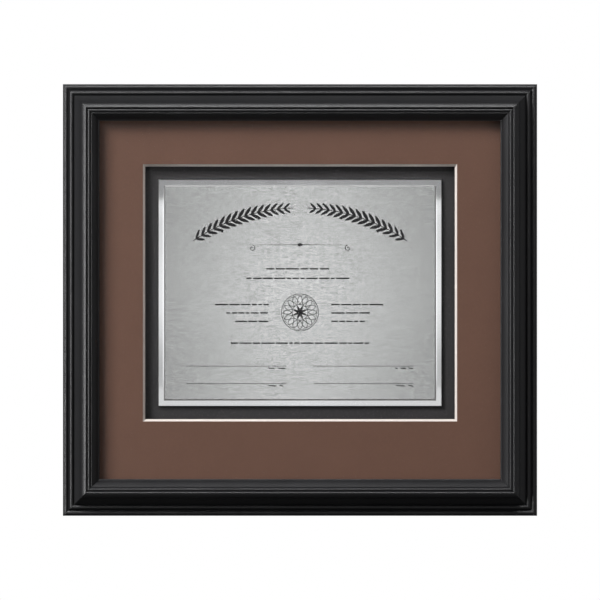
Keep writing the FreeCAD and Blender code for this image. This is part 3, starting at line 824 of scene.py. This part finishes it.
@dataclass
class Ornament:
    """Black-filled ornament on the certificate panel, with no lettering: garland, seal, rows and rules.

    Places are from the panel's middle, across and up. A ring of the seal is its radius and its line's half
    width, its waves are their middle radius and their swing, and a row is its start, its end and its height.
    """

    stand: float = 0.035
    sunk: float = 0.05
    garland_radius: float = 170.0
    garland_top: float = 76.0
    garland_half_span: float = 93.0
    garland_gap: float = 2.0
    leaf_length: float = 9.0
    leaf_width: float = 2.7
    leaf_step: float = 6.0
    leaf_lean: float = 38.0
    leaf_least: float = 0.72
    leaf_growth: float = 0.36
    twig_radius: float = 0.42
    twig_steps: int = 24
    berry_radius: float = 0.95
    berry_out: float = 5.4
    divider_up: float = 43.0
    divider_half: float = 46.0
    divider_line: float = 0.34
    divider_start: float = 4.2
    scroll_radius: float = 3.0
    scroll_turns: float = 1.25
    scroll_eye: float = 0.12
    stone_length: float = 6.2
    stone_width: float = 3.4
    dot_out: float = 3.6
    dot_size: float = 0.6
    seal_up: float = -17.5
    seal_rings: tuple[Flat, ...] = ((16.5, 0.34), (15.2, 0.2), (7.0, 0.3))
    seal_waves: Flat = (11.1, 3.6)
    seal_petals: int = 16
    seal_line: float = 0.30
    star_rays: int = 8
    star_turn: float = 22.5
    star_size: float = 0.70
    row_spans: tuple[tuple[str, tuple[Point, ...]], ...] = (
        ("rows_upper", ((-30.0, 30.0, 21.5), (-48.0, 48.0, 13.0))),
        ("rows_left", ((-76.0, -28.0, -10.5), (-66.0, -28.0, -18.0), (-58.0, -28.0, -25.5))),
        ("rows_right", ((28.0, 76.0, -10.5), (28.0, 66.0, -18.0), (28.0, 58.0, -25.5))),
        ("rows_lower", ((-62.0, 62.0, -45.0),)),
    )
    row_height: float = 1.25
    row_gap: float = 1.3
    bar_least: float = 3.0
    bar_most: float = 12.0
    rule_length: float = 89.5
    rule_inset: float = 12.2
    rule_heights: tuple[float, ...] = (-65.6, -81.3)
    rule_radius: float = 0.26
    note_height: float = 0.55
    note_length: float = 17.0
    note_drop: float = 1.9
    seed: int = 11
    pieces: list[Piece] = field(default_factory=list)

    def __post_init__(self) -> None:
        """Reads the panel's face from the frame."""
        low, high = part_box("brushed_certificate_panel")
        self.middle = Vector(((low.x + high.x) / 2.0, low.y, (low.z + high.z) / 2.0))

    def place(self, across: float, up: float, turn: float = 0.0, size: float = 1.0) -> Matrix:
        """A place on the panel's face.

        Args:
            across: Millimetres to the right of the middle.
            up: Millimetres above it.
            turn: Turn in the panel's plane, in degrees, anticlockwise as seen.
            size: A scale.

        Returns:
            The place's matrix.
        """
        moved = Matrix.Translation(self.middle + Vector((across, 0.0, up)) * MM)
        turned = Matrix.Rotation(math.radians(-turn), 4, "Y")
        return moved @ turned @ Matrix.Diagonal((size, 1.0, size, 1.0))

    def flat(self, name: str, corners: int, length: float, width: float) -> Piece:
        """A thin rounded slab at the origin, standing on the panel's plane and open in edit mode.

        Args:
            name: Its name.
            corners: How many corners its outline has.
            length: Its length along X, in millimetres.
            width: Its width along Z, in millimetres.

        Returns:
            The slab.
        """
        add = bpy.ops.mesh.primitive_circle_add
        tilt = (QUARTER_TURN, 0.0, 0.0)
        slab = Piece.add(add, name, vertices=corners, radius=0.5, fill_type="NGON", rotation=tilt)
        slab.made.scale = (length * MM, width * MM, 1.0)
        slab.settle()
        slab.move(Matrix.Translation((0.0, self.sunk * MM, 0.0)))
        slab.edit()
        bpy.ops.mesh.select_all(action="SELECT")
        rise = (0.0, -(self.sunk + self.stand) * MM, 0.0)
        bpy.ops.mesh.extrude_region_move(TRANSFORM_OT_translate={"value": rise})
        return slab

    def leaf(self) -> Piece:
        """A laurel leaf along +X from its foot, with a vein pressed into it.

        Returns:
            The leaf.
        """
        slab = self.flat("leaf", 14, self.leaf_length, self.leaf_width)
        reach = self.leaf_length * MM / 2.0
        slab.pick("VERT", lambda v: abs(v.co.x) > reach * 0.97)
        bpy.ops.transform.resize(value=(1.16, 1.0, 0.4))
        slab.pick("FACE", lambda f: f.normal.y < -0.9)
        bpy.ops.mesh.inset(thickness=self.leaf_width * MM * 0.22)
        bpy.ops.transform.resize(value=(1.0, 1.0, 0.25))
        bpy.ops.transform.translate(value=(0.0, self.stand * MM * 0.8, 0.0))
        slab.close()
        slab.move(Matrix.Translation((reach, 0.0, 0.0)))
        return slab

    def berry(self) -> Piece:
        """A round berry with a rounded edge.

        Returns:
            The berry.
        """
        slab = self.flat("berry", 14, 2.0 * self.berry_radius, 2.0 * self.berry_radius)
        slab.soften(self.stand * MM * 0.7, lambda point: point.y < 0.0, 2)
        return slab

    def stone(self) -> Piece:
        """A lozenge with a raised middle.

        Returns:
            The lozenge.
        """
        slab = self.flat("stone", 4, self.stone_length, self.stone_width)
        slab.pick("FACE", lambda f: f.normal.y < -0.9)
        bpy.ops.mesh.inset(thickness=0.12 * MM)
        bpy.ops.transform.translate(value=(0.0, -self.stand * MM * 0.3, 0.0))
        slab.close()
        return slab

    def bar(self, height: float) -> Piece:
        """A bar a millimetre long, which the places of a row stretch.

        Args:
            height: Its height, as a share of the row's.

        Returns:
            The bar.
        """
        side = math.sqrt(2.0)
        slab = self.flat("bar", 4, side, side * height)
        slab.close()
        slab.move(Matrix.Rotation(QUARTER_TURN / 2.0, 4, "Y"))
        return slab

    def curve(self, points: Sequence[Flat], radius: float, closed: bool = False) -> Piece:
        """A flattened wire along points of the panel.

        Args:
            points: Across and up, in millimetres.
            radius: The line's half width, in millimetres.
            closed: Whether it runs back to its start.

        Returns:
            The line.
        """
        route = [(across * MM, 0.0, up * MM) for across, up in points]
        line = Piece.wire("line", route, radius * MM, closed, 1)
        thin = (self.stand + self.sunk) / (2.0 * radius)
        line.move(Matrix.Diagonal((1.0, thin, 1.0, 1.0)))
        level = Vector((0.0, (self.sunk - self.stand) / 2.0 * MM, 0.0))
        line.move(Matrix.Translation(self.middle + level))
        return line

    def arc(self, angle: float, out: float = 0.0) -> Flat:
        """A point of the garland's arc, at degrees from its top, or one that lies further out."""
        centre = self.garland_top - self.garland_radius
        return polar(centre, self.garland_radius + out, math.radians(angle))

    def garland(self) -> None:
        """Two laurel branches that rise from the sides and bow towards each other."""
        span = math.degrees(math.asin(self.garland_half_span / self.garland_radius))
        step = math.degrees(self.leaf_step / self.garland_radius)
        count = int((span - self.garland_gap) / step)
        for name, side in (("garland_left", -1.0), ("garland_right", 1.0)):
            leaves = []
            berries = []
            for index in range(count):
                angle = side * (span - index * step)
                grown = math.sin(math.pi * min(1.0, index / count * 0.9 + 0.12))
                size = self.leaf_least + self.leaf_growth * grown
                heading = 180.0 - angle if side > 0.0 else -angle
                for lean in (self.leaf_lean, -self.leaf_lean):
                    leaves.append(self.place(*self.arc(angle), heading + lean, size))
                if index % 3 == 1:
                    out = self.berry_out if index % 2 else -self.berry_out
                    berries.append(self.place(*self.arc(angle, out * size)))
            shares = [index / self.twig_steps for index in range(self.twig_steps + 1)]
            twig = [self.arc(side * (span + 1.0 - (span - 1.2) * share)) for share in shares]
            parts = [
                self.leaf().copies("leaves", leaves),
                self.berry().copies("berries", berries),
                self.curve(twig, self.twig_radius),
            ]
            self.pieces.append(Piece.join(parts, name))

    def divider(self) -> None:
        """A lozenge between two dots and two rules that end in scrolls."""
        coil = []
        steps = int(26 * self.scroll_turns)
        for index in range(steps + 1):
            share = index / steps
            angle = share * self.scroll_turns * 2.0 * math.pi
            radius = self.scroll_radius * (self.scroll_eye + (1.0 - self.scroll_eye) * share)
            coil.append((radius * math.cos(angle), radius * math.sin(angle)))
        up = self.divider_up
        eye = self.divider_half - self.scroll_radius
        parts = []
        for side in (-1.0, 1.0):
            points = [(side * (eye - x), up + y - coil[-1][1]) for x, y in coil]
            points.append((side * self.divider_start, up))
            parts.append(self.curve(points, self.divider_line))
        parts.append(self.stone().copies("stones", [self.place(0.0, up)]))
        dots = [self.place(side * self.dot_out, up, size=self.dot_size) for side in (-1.0, 1.0)]
        parts.append(self.berry().copies("dots", dots))
        self.pieces.append(Piece.join(parts, "divider_under_garland"))

    def seal(self) -> None:
        """A round seal of interlaced loops with a star in its middle."""
        up = self.seal_up
        parts = []
        for radius, line in self.seal_rings:
            ring = [polar(up, radius, index * math.pi / 36.0) for index in range(72)]
            parts.append(self.curve(ring, line, True))
        steps = self.seal_petals * 12
        turns = [2.0 * math.pi * index / steps for index in range(steps)]
        level, swing = self.seal_waves
        for phase in (0.0, math.pi):
            waves = [level + swing * math.cos(self.seal_petals * turn / 2.0 + phase) for turn in turns]
            loop = [polar(up, radius, turn) for radius, turn in zip(waves, turns)]
            parts.append(self.curve(loop, self.seal_line, True))
        headings = [360.0 * index / self.star_rays + self.star_turn for index in range(self.star_rays)]
        rays = [self.place(0.0, up, heading, self.star_size) for heading in headings]
        parts.append(self.leaf().copies("star", rays))
        self.pieces.append(Piece.join(parts, "seal_rosette"))

    def row(self, draw: random.Random, left: float, right: float, up: float) -> list[Matrix]:
        """Places for one row of short bars, of uneven lengths with even gaps.

        Args:
            draw: The source of the lengths.
            left: Where the row starts.
            right: Where it ends.
            up: Its height on the panel.

        Returns:
            One matrix for each bar, which also stretches it.
        """
        places = []
        at = left
        while at < right - self.bar_least:
            length = min(draw.uniform(self.bar_least, self.bar_most), right - at)
            stretch = Matrix.Diagonal((length, 1.0, self.row_height, 1.0))
            places.append(self.place(at + length / 2.0, up) @ stretch)
            at += length + self.row_gap
        return places

    def rows(self) -> None:
        """Rows of plain bars where a certificate has its text."""
        draw = random.Random(self.seed)
        for name, spans in self.row_spans:
            places = [place for span in spans for place in self.row(draw, *span)]
            self.pieces.append(self.bar(1.0).copies(name, places))

    def rules(self) -> None:
        """Four blank rules to sign on, with a short row under the outer end of each."""
        draw = random.Random(self.seed + 1)
        for name, side in (("sign_rules_left", -1.0), ("sign_rules_right", 1.0)):
            parts = []
            notes = []
            for up in self.rule_heights:
                inner = side * self.rule_inset
                outer = side * (self.rule_inset + self.rule_length)
                parts.append(self.curve([(inner, up), (outer, up)], self.rule_radius))
                right = max(inner, outer)
                notes += self.row(draw, right - self.note_length, right, up - self.note_drop)
            parts.append(self.bar(self.note_height).copies("notes", notes))
            self.pieces.append(Piece.join(parts, name))

    def build(self) -> None:
        """Models the ornament and fixes it to the panel."""
        self.garland()
        self.divider()
        self.rows()
        self.seal()
        self.rules()
        fill = Moulded("etched_black", (0.016, 0.016, 0.017, 1.0), 0.65, 0.06, 2.2, 0.002).material()
        for piece in self.pieces:
            piece.finish(fill, ROOT, Slot.BRUSHED)


@dataclass
class Certificate:
    """The brushed panel on its polished plate, with the ornament."""

    rim_plate: str = "polished_rim_plate"
    panel: str = "brushed_certificate_panel"

    def build(self) -> None:
        """Dresses both plates and adds the ornament."""
        outer = extents(self.rim_plate)
        inner = extents(self.panel)
        dress([self.rim_plate], PolishedRim(*outer, outer[0] - inner[0]))
        dress([self.panel], BrushedPanel(*inner))
        Ornament().build()


@dataclass
class BackFixings:
    """Turn buttons, screws, hangers and bumpers on the frame's back."""

    head_bevel: float = 0.95
    cross_width: float = 0.85
    cross_reach: float = 1.7
    cross_depth: float = 1.1
    cross_taper: float = 0.4
    thread_pitch: float = 1.1
    thread_depth: float = 0.28
    shank_overlap: float = 0.2
    tip_taper: float = 0.35
    wire_flats: int = 8
    ring_corner: float = 2.0
    bumper_round: float = 0.9
    rubber: Colour = (0.016, 0.016, 0.017, 1.0)
    seed: int = 5

    def solids(self, node: str) -> list[list[Vector]]:
        """The points of each separate solid in a CAD node, found by merging a copy of its mesh.

        Args:
            node: The node's name.

        Returns:
            Each solid's points, in metres.
        """
        mesh = bmesh.new()
        mesh.from_mesh(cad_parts[node].data)
        bmesh.ops.remove_doubles(mesh, verts=mesh.verts, dist=SAME_LEVEL)
        left = set(mesh.verts)
        groups = []
        for start in mesh.verts[:]:
            if start not in left:
                continue
            left.remove(start)
            group = [start]
            for vertex in group:
                for edge in vertex.link_edges:
                    other = edge.other_vert(vertex)
                    if other in left:
                        left.remove(other)
                        group.append(other)
            groups.append([vertex.co.copy() for vertex in group])
        mesh.free()
        return groups

    def head(self, radius: float, height: float) -> Piece:
        """A pan head, standing on the origin, with a tapered cross cut into it.

        Args:
            radius: Its radius, in metres.
            height: Its height.

        Returns:
            The head.
        """
        add = bpy.ops.mesh.primitive_cylinder_add
        middle = (0.0, 0.0, height / 2.0)
        head = Piece.add(add, "head", vertices=40, radius=radius, depth=height, location=middle)
        head.soften(self.head_bevel * MM, lambda point: point.z > height * 0.9)
        arms = []
        for turn in (0.0, QUARTER_TURN):
            add = bpy.ops.mesh.primitive_cube_add
            arm = Piece.add(add, "arm", size=1.0, location=(0.0, 0.0, height), rotation=(0.0, 0.0, turn))
            sizes = (2.0 * self.cross_reach, self.cross_width, 2.0 * self.cross_depth)
            arm.made.scale = [size * MM for size in sizes]
            arm.settle()
            arm.edit()
            arm.pick("VERT", lambda v: v.co.z < height)
            taper = (self.cross_taper, self.cross_taper, 1.0)
            bpy.ops.transform.resize(value=taper, center_override=(0.0, 0.0, height))
            arm.close()
            arms.append(arm.made)
        for arm in arms:
            head.take()
            cut = head.made.modifiers.new("cross", "BOOLEAN")
            cut.operation = "DIFFERENCE"
            cut.solver = "EXACT"
            cut.object = arm
            bpy.ops.object.modifier_apply(modifier=cut.name)
            bpy.data.objects.remove(arm)
        return head

    def shank(self, radius: float, length: float) -> Piece:
        """A threaded shank that points down -Z from the origin.

        Args:
            radius: The thread's outer radius, in metres.
            length: How far it reaches.

        Returns:
            The shank.
        """
        add = bpy.ops.mesh.primitive_cylinder_add
        root = radius - self.thread_depth * MM
        extra = self.shank_overlap * MM
        middle = (0.0, 0.0, -length / 2.0 + extra)
        depth = length + 2.0 * extra
        shank = Piece.add(add, "shank", vertices=24, radius=root, depth=depth, location=middle)
        shank.settle()
        shank.edit()
        shank.pick("EDGE", lambda e: False)
        turns = int(length / (self.thread_pitch * MM))
        pitch = length / turns
        for index in range(turns):
            low = -length + pitch * (index + 0.25)
            for share in (0.0, 0.25, 0.5):
                bpy.ops.mesh.select_all(action="SELECT")
                level = (0.0, 0.0, low + pitch * share)
                bpy.ops.mesh.bisect(plane_co=level, plane_no=(0.0, 0.0, 1.0))
                if share == 0.25:
                    swell = (radius / root, radius / root, 1.0)
                    bpy.ops.transform.resize(value=swell, center_override=(0.0, 0.0, low))
        shank.pick("VERT", lambda v: v.co.z < -length + extra)
        taper = (self.tip_taper, self.tip_taper, 1.0)
        bpy.ops.transform.resize(value=taper, center_override=(0.0, 0.0, -length))
        shank.close()
        return shank

    def screws(self, steel: Material) -> None:
        """Replaces both groups of screws with screws that have threads and a cross recess.

        Args:
            steel: Their material.
        """
        draw = random.Random(self.seed)
        for node in ("turn_button_screws", "hanger_screws"):
            solids = self.solids(node)
            spots = [sum(points, Vector()) / len(points) for points in solids]
            tip = min(point.y for point in solids[0])
            top = max(point.y for point in solids[0])
            radii = [((point - spots[0]).xz.length, point.y) for point in solids[0]]
            head_radius = max(radius for radius, level in radii)
            shank_radius = max(radius for radius, level in radii if level < tip + SAME_LEVEL)
            underside = min(level for radius, level in radii if radius > shank_radius * 1.1)
            head = self.head(head_radius, top - underside)
            pattern = Piece.join([head, self.shank(shank_radius, underside - tip)], "screw")
            places = []
            for spot in spots:
                moved = Matrix.Translation((spot.x, underside, spot.z))
                turned = Matrix.Rotation(-QUARTER_TURN, 4, "X")
                places.append(moved @ turned @ Matrix.Rotation(draw.uniform(0.0, math.pi), 4, "Z"))
            group = pattern.copies(f"detailed_{node}", places)
            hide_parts(node)
            group.finish(steel, ROOT, Slot.STEEL)

    def ring(self, node: str, steel: Material) -> None:
        """Replaces a D ring with one of round wire.

        Args:
            node: The ring's node.
            steel: Its material.
        """
        low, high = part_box(node)
        flats = math.cos(math.pi / self.wire_flats)
        wire = (high.y - low.y) / 2.0 / flats
        wide = (high.x - low.x) / 2.0 - wire * flats
        axis = high.z - wire * flats
        arm = axis - (low.z + wire * flats) - wide
        corner = wire * self.ring_corner
        points = []
        for index in range(10):
            turn = QUARTER_TURN * index / 9.0
            points.append((wide - corner + corner * math.sin(turn), -corner + corner * math.cos(turn)))
        for index in range(41):
            turn = math.pi * index / 40.0
            points.append((wide * math.cos(turn), -arm - wide * math.sin(turn)))
        points += [(-x, z) for x, z in reversed(points[:10])]
        middle = (low + high) / 2.0
        route = [(middle.x + x, middle.y, axis + z) for x, z in points]
        ring = Piece.wire(f"round_{node}", route, wire, True, 5)
        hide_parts(node)
        ring.finish(steel, node, Slot.STEEL, 50.0)

    def bumper(self, node: str, rubber: Material) -> None:
        """Replaces a bumper with one whose rim is rounded.

        Args:
            node: The bumper's node.
            rubber: Its material.
        """
        low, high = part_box(node)
        sizes = {"vertices": 56, "radius": (high.x - low.x) / 2.0, "depth": high.y - low.y}
        stance = {"location": (low + high) / 2.0, "rotation": (QUARTER_TURN, 0.0, 0.0)}
        disc = Piece.add(bpy.ops.mesh.primitive_cylinder_add, f"rounded_{node}", **sizes, **stance)
        disc.soften(self.bumper_round * MM, lambda point: point.y > high.y - SAME_LEVEL)
        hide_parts(node)
        disc.finish(rubber, ROOT, Slot.RUBBER)

    def build(self) -> None:
        """Dresses and details the back."""
        buttons = [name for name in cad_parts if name.startswith("turn_button_")]
        buttons.remove("turn_button_screws")
        steel = dress(buttons + ["hanger_strap_left", "hanger_strap_right"], PlatedSteel())
        rubber = Moulded("rubber", self.rubber, 0.72, 0.35, 1.8).material()
        for side in ("left", "right"):
            self.ring(f"hanger_ring_{side}", steel)
            self.bumper(f"wall_bumper_{side}", rubber)
        self.screws(steel)


@dataclass(frozen=True)
class Lamp:
    """A soft lamp that looks at the frame's middle."""

    name: str
    place: Point
    width: float
    height: float
    watts: float
    seen: Seen = Seen.ALL
    only: tuple[str, ...] = ()

    def build(self) -> None:
        """Adds the lamp, which lights only the CAD nodes named for it where some are named."""
        data = bpy.data.lights.new(self.name, "AREA")
        data.shape = "RECTANGLE"
        data.size = self.width * MM
        data.size_y = self.height * MM
        data.energy = self.watts
        lamp = bpy.data.objects.new(self.name, data)
        lamp.location = Vector(self.place) * MM
        lamp.rotation_euler = (-Vector(self.place)).to_track_quat("-Z", "Y").to_euler()
        lamp.visible_camera = False
        lamp.visible_diffuse = self.seen is not Seen.SHEEN
        lamp.visible_glossy = self.seen is not Seen.MATT
        bpy.context.collection.objects.link(lamp)
        if self.only:
            lit = bpy.data.collections.new(f"lit_by_{self.name}")
            for name in self.only:
                lit.objects.link(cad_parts[name])
            lamp.light_linking.receiver_collection = lit


@dataclass
class Studio:
    """Camera, lamps, pale floor, light card and the white that stands behind the frame.

    The floor is dark in mirrors up to the first distance of floor_mirror and pale from the second. The shares
    of its radius in floor_fade say where it runs out into the white. A step of the card says where it starts,
    where it ends and how much brighter the card is beyond it.
    """

    picture_px: float = 600.0
    px_per_mm: float = 1.117
    lens: float = 300.0
    sensor: float = 36.0
    plate_plane: float = -12.0
    floor_height: float = -360.0
    floor_radius: float = 1200.0
    floor_pale: Colour = (0.88, 0.88, 0.87, 1.0)
    floor_dark: Colour = (0.10, 0.10, 0.10, 1.0)
    floor_mirror: Flat = (150.0, 550.0)
    floor_fade: Flat = (0.35, 0.9)
    white: Colour = (1.0, 1.0, 1.0, 1.0)
    ambient: float = 0.062
    card_size: float = 3000.0
    card_band: float = 245.0
    card_fall: float = 2.6
    card_rise: float = 2.45
    card_steps: tuple[Point, ...] = (
        (165.0, 140.0, -0.13),
        (120.0, 40.0, 0.13),
        (245.0, 270.0, 0.6),
        (0.0, -130.0, -0.38),
        (-150.0, -180.0, 0.22),
    )
    lamps: tuple[Lamp, ...] = (
        Lamp("key", (-3420.0, -2280.0, 3650.0), 1425.0, 1425.0, 636.0),
        Lamp("fill", (2200.0, -1200.0, -300.0), 1300.0, 1300.0, 21.0, Seen.MATT),
        Lamp("back", (1500.0, 2300.0, 1900.0), 1200.0, 1200.0, 95.0),
        Lamp("strip_left", (-640.0, -620.0, 0.0), 150.0, 1000.0, 30.0, Seen.SHEEN, MATT_FACE),
        Lamp("strip_top", (0.0, -620.0, 640.0), 1000.0, 150.0, 30.0, Seen.SHEEN),
    )

    def eye(self) -> Point:
        """Where the camera stands, in metres: as far from the plate as its long lens needs."""
        distance = self.lens / self.sensor * self.picture_px / self.px_per_mm
        return (0.0, (self.plate_plane - distance) * MM, 0.0)

    def camera(self) -> None:
        """Sets the camera square to the frame's face."""
        data = bpy.data.cameras.new("camera")
        data.lens = self.lens
        data.sensor_width = self.sensor
        data.clip_end = 100.0
        camera = bpy.data.objects.new("camera", data)
        camera.location = self.eye()
        camera.rotation_euler = (QUARTER_TURN, 0.0, 0.0)
        bpy.context.collection.objects.link(camera)
        bpy.context.scene.camera = camera

    def world(self) -> None:
        """Makes the surroundings white to look at, in mirrors too, and softer as light."""
        make = Recipe("studio", "worlds")
        kinds = ("Camera", "Glossy", "Transmission")
        rays = [make.node("LightPath", None, f"Is {kind} Ray") for kind in kinds]
        strength = rays[0].over(rays[1]).over(rays[2]).ramp(0.0, 1.0, self.ambient, 1.0)
        background = make.node("Background", {"Color": self.white, "Strength": strength})
        bpy.context.scene.world = make.end(background, "World")

    def floor(self) -> None:
        """Lays a pale round floor that runs out into the white and throws little light back up.

        Polished surfaces mirror it as pale too, apart from the strip close to the frame.
        """
        add = bpy.ops.mesh.primitive_circle_add
        place = (0.0, 0.0, self.floor_height * MM)
        reach = self.floor_radius * MM
        floor = Piece.add(add, "floor", vertices=96, radius=reach, fill_type="NGON", location=place)
        floor.settle()
        make = Recipe("floor")
        x, y, z = make.axes()
        out = (x * x + y * y) ** 0.5
        pale = make.node("BsdfDiffuse", {"Color": self.floor_pale})
        glow = make.node("Emission", {"Color": self.white, "Strength": 1.0})
        dark = make.node("BsdfDiffuse", {"Color": self.floor_dark})
        shown = make.node("LightPath", output="Is Camera Ray")
        mirrored = make.node("LightPath", output="Is Glossy Ray") * abs(y).ramp(*self.floor_mirror)
        far = out.ramp(*(self.floor_radius * share for share in self.floor_fade))
        seen = make.node("MixShader", {0: far, 1: pale, 2: glow})
        mixed = make.node("MixShader", {0: shown + mirrored, 1: dark, 2: seen})
        floor.made.data.materials.append(make.end(mixed))

    def card(self) -> None:
        """Hangs a card round the camera that only polished surfaces see, for the metal to mirror.

        It is graded from top to bottom, which the polished rim shows. In its middle is a bright upright
        band, which the brushing of the panel spreads from top to bottom.
        """
        add = bpy.ops.mesh.primitive_plane_add
        size = self.card_size * MM
        tilt = (QUARTER_TURN, 0.0, 0.0)
        card = Piece.add(add, "light_card", size=size, location=self.eye(), rotation=tilt)
        card.settle()
        make = Recipe("light_card")
        x, y, z = make.axes()
        grade = z.ramp(205.0, 165.0, 0.32, 0.92)
        for start, end, rise in self.card_steps:
            grade = grade + z.ramp(start, end) * rise
        outside = z.ramp(250.0, 285.0) + z.ramp(-215.0, -240.0)
        lit = z.ramp(190.0, 165.0) * z.ramp(-160.0, -135.0) + outside
        rise = (z.ramp(30.0, 130.0) + z.ramp(0.0, -110.0)) * 0.5 + self.card_rise
        band = abs(x).ramp(self.card_band, 0.0) ** self.card_fall * rise
        glow = make.node("Emission", {"Strength": grade + band * lit})
        card.made.data.materials.append(make.end(glow))
        for ray in ("camera", "diffuse", "transmission", "volume_scatter", "shadow"):
            setattr(card.made, f"visible_{ray}", False)

    def build(self) -> None:
        """Sets up the studio."""
        bpy.context.scene.view_settings.view_transform = "Standard"
        self.camera()
        self.world()
        self.floor()
        self.card()
        for lamp in self.lamps:
            lamp.build()


def main() -> None:
    """Builds the scene, sub-assembly by sub-assembly."""
    logging.basicConfig(level=logging.INFO, format="%(name)s: %(message)s")
    Studio().build()
    Moulding().build()
    SheetPack().build()
    Certificate().build()
    BackFixings().build()


if __name__ == "__main__":
    main()
